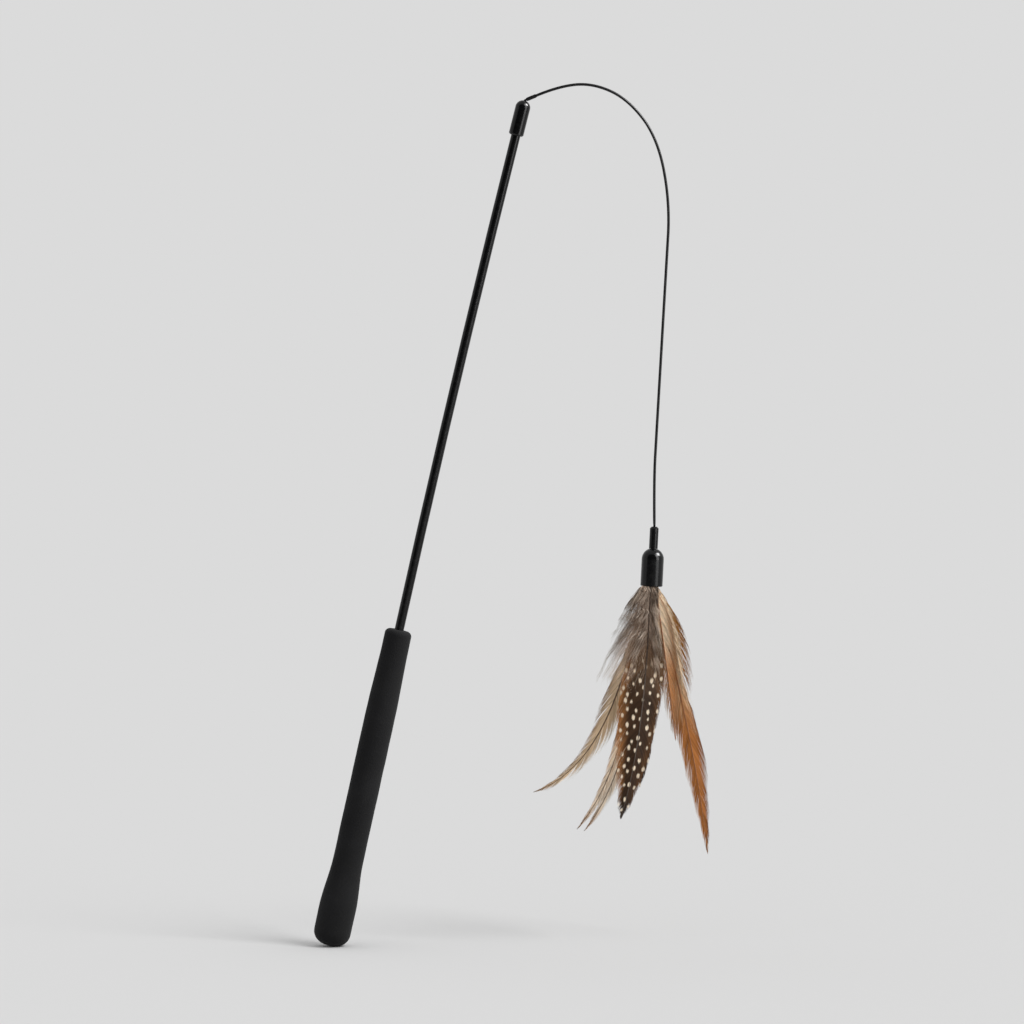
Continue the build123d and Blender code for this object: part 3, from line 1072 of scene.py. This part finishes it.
# Name, slot, the quill's place to the side and back in plug radii, length, half width, lean, curl, the curl's power and
# the fan to the back (angles in degrees), the shaft, and the rows on the left and right.
FEATHERS = (
    Plume(
        "guinea_plume_front", "guinea", -0.1, -0.74, 0.126, 0.0118, 0.0, -14.0, 2, -5.5, GUINEA_SHAFT,
        (GUINEA_LEFT, DOWN_LEFT, PALE_HAIRS, FUZZ_ROW), (GUINEA_RIGHT, DOWN_RIGHT, PALE_HAIRS),
    ),
    Plume(
        "guinea_plume_back", "guinea", 0.16, -0.46, 0.108, 0.0100, 2.0, -9.0, 2, -2.8, GUINEA_SHAFT,
        (BEHIND_LEFT, DOWN_RIGHT), (BEHIND_RIGHT, DOWN_RIGHT),
    ),
    Plume(
        "rust_hackle_inner", "rust", 0.42, -0.08, 0.084, 0.0070, 11.0, -2.0, 2, 0.5, RUST_SHAFT,
        (INNER_ROW,), (INNER_ROW,),
    ),
    Plume(
        "rust_hackle_long", "rust", 0.26, 0.38, 0.149, 0.0066, 16.9, -8.0, 2, 4.0, RUST_SHAFT,
        (RUST_LEFT, HAIR_ROW), (RUST_RIGHT, HAIR_ROW),
    ),
    Plume(
        "cream_hackle", "cream", 0.6, 0.18, 0.060, 0.0044, 21.0, -14.0, 2, 2.4, PALE_SHAFT,
        (CREAM_ROW,), (CREAM_ROW,),
    ),
    Plume(
        "gold_hackle", "gold", 0.22, 0.72, 0.068, 0.0054, 27.0, -20.0, 1, 8.5, RUST_SHAFT,
        (GOLD_LEFT,), (GOLD_RIGHT,),
    ),
    Plume(
        "tan_hackle_lower", "tan", -0.4, -0.2, 0.138, 0.0050, -3.5, -33.0, 3, -0.5, DARK_SHAFT,
        (PALE_UPPER,), (PALE_LOWER,),
    ),
    Plume(
        "tan_hackle_middle", "tan", -0.42, 0.2, 0.139, 0.0052, -5.0, -33.0, 3, 2.2, DARK_SHAFT,
        (PALE_UPPER,), (PALE_LOWER,),
    ),
    Plume(
        "tan_hackle_long", "tan", -0.36, 0.56, 0.134, 0.0060, -11.5, -58.0, 3, 5.5, DARK_SHAFT,
        (TAN_UPPER,), (TAN_LOWER,),
    ),
)


@dataclass
class Lure:
    """The lure: its neck and bell, the glue in the bell's mouth and the feathers set in it."""

    plug_radius: float = 0.00495
    mouth_share: float = 0.95
    shaft_drop: float = 0.0317
    pivot: Vector = field(default_factory=lambda: Vector(joint_named("lure_spin")["pos_m"]))
    up: Vector = field(default_factory=lambda: Vector(joint_named("lure_spin")["axis"]).normalized())
    back: Vector = field(default_factory=Y_AXIS.copy)
    tree: NodeTree = field(default_factory=lambda: BarbTree().build())
    seed: int = 41
    seed_step: int = 10

    @property
    def side(self) -> Vector:
        """The lure's right-hand way, square to its axis."""
        return self.back.cross(self.up)

    def build(self) -> None:
        """Dresses the neck, the bell and the glue, and grows the feathers."""
        dress("lure_neck", CAP_GLOSS)
        dress("lure_cap", CAP_GLOSS)
        dress("quill_plug", GLUE)
        for index, plume in enumerate(FEATHERS):
            plume.build(self, self.seed + self.seed_step * index)


@dataclass(frozen=True)
class SoftBox:
    """A lit panel that only gloss shows: how far round and up it hangs from the camera's side, and its size."""

    name: str
    round: float
    up: float
    width: float
    height: float
    radiance: float


@dataclass
class Studio:
    """A pale seamless floor under even light, and the camera."""

    sky: Colour = tint(219, 219, 219)
    floor_radius: float = 40.0
    aim: Vector = field(default_factory=lambda: Vector((0.0793, 0.0, 0.1482)))
    distance: float = 3.2
    pitch: float = 3.0
    frame_width: float = 0.548
    sensor: float = 36.0
    sun_strength: float = 1.42
    sun_from: Vector = field(default_factory=lambda: Vector((0.62, -0.48, 0.74)).normalized())
    sun_spread: float = 28.0
    box_distance: float = 2.0
    boxes: tuple[SoftBox, ...] = (
        SoftBox("right_box", 54.0, 8.0, 0.9, 2.4, 5.0),
        SoftBox("top_box", 82.0, 41.0, 0.7, 0.7, 55.0),
        SoftBox("dark_front", -11.0, 4.0, 4.6, 5.0, 0.0),
    )

    def build(self) -> None:
        """Makes the floor, the lights and the camera."""
        self.floor()
        self.lights()
        for box in self.boxes:
            self.hang(box)
        self.camera()

    def floor(self) -> None:
        """Makes a wide round floor that the grip's foot stands on, as bright in this light as the sky."""
        low = min(vertex.co.z for vertex in bpy.data.objects["grip_foam"].data.vertices)
        shape = bmesh.new()
        bmesh.ops.create_circle(shape, cap_ends=True, segments=64, radius=self.floor_radius)
        mesh = bpy.data.meshes.new("studio_floor")
        shape.to_mesh(mesh)
        shape.free()
        floor = new_object("studio_floor", mesh)
        floor.location.z = low
        sky = self.sky[0]
        pale = grey(sky / (sky + self.sun_strength * self.sun_from.z / math.pi))
        finish = PlainFinish("studio_paper", pale, pale, roughness=0.9, gloss=0.0)
        mesh.materials.append(finish.material())

    def lights(self) -> None:
        """Sets an even sky and a wide soft sun."""
        world = bpy.data.worlds.new("studio_light")
        world.use_nodes = True
        world.node_tree.nodes["Background"].inputs["Color"].default_value = self.sky
        bpy.context.scene.world = world
        sun = bpy.data.lights.new("soft_sun", "SUN")
        sun.energy = self.sun_strength
        sun.angle = math.radians(self.sun_spread)
        holder = new_object("soft_sun", sun)
        holder.rotation_euler = self.sun_from.to_track_quat("Z", "Y").to_euler()
        bpy.context.scene.view_settings.view_transform = "Standard"

    def hang(self, box: SoftBox) -> None:
        """Hangs a panel that faces the wand; one without light is a dark card that keeps the sky out of the gloss.

        Args:
            box: The panel.
        """
        turn, lift = math.radians(box.round), math.radians(box.up)
        way = Vector((math.sin(turn) * math.cos(lift), -math.cos(turn) * math.cos(lift), math.sin(lift)))
        if box.radiance > 0:
            lamp = bpy.data.lights.new(box.name, "AREA")
            lamp.shape = "RECTANGLE"
            lamp.size, lamp.size_y = box.width, box.height
            lamp.energy = box.radiance * math.pi * box.width * box.height
            panel = new_object(box.name, lamp)
        else:
            mesh = bpy.data.meshes.new(box.name)
            right, top = box.width / 2, box.height / 2
            corners = [(-right, -top, 0.0), (right, -top, 0.0), (right, top, 0.0), (-right, top, 0.0)]
            mesh.from_pydata(corners, [], [(0, 1, 2, 3)])
            black = grey(0.0)
            mesh.materials.append(PlainFinish("studio_card", black, black, roughness=1.0, gloss=0.0).material())
            panel = new_object(box.name, mesh)
            panel.visible_camera = False
            panel.visible_shadow = False
        panel.visible_diffuse = False
        panel.visible_transmission = False
        panel.location = self.aim + way * self.box_distance
        panel.rotation_euler = way.to_track_quat("Z", "Y").to_euler()

    def camera(self) -> None:
        """Sets a long lens at the photo's height and distance."""
        lens = bpy.data.cameras.new("camera")
        lens.sensor_width = self.sensor
        lens.lens = self.sensor * self.distance / self.frame_width
        lens.clip_end = 200.0
        holder = new_object("camera", lens)
        lift = math.radians(self.pitch)
        holder.location = self.aim + Vector((0.0, -math.cos(lift), math.sin(lift))) * self.distance
        holder.rotation_euler = (math.radians(90.0) - lift, 0.0, 0.0)
        bpy.context.scene.camera = holder


def write_sizes() -> None:
    """Brings the scene's transforms up to date."""
    bpy.context.view_layer.update()


def main() -> None:
    """Builds the wand's sub-assemblies and the studio in order."""
    logging.basicConfig(level=logging.INFO, format="%(name)s: %(message)s")
    for assembly in (TipWire(), Handle(), Lure(), Studio()):
        assembly.build()
    write_sizes()


if __name__ == "__main__":
    main()
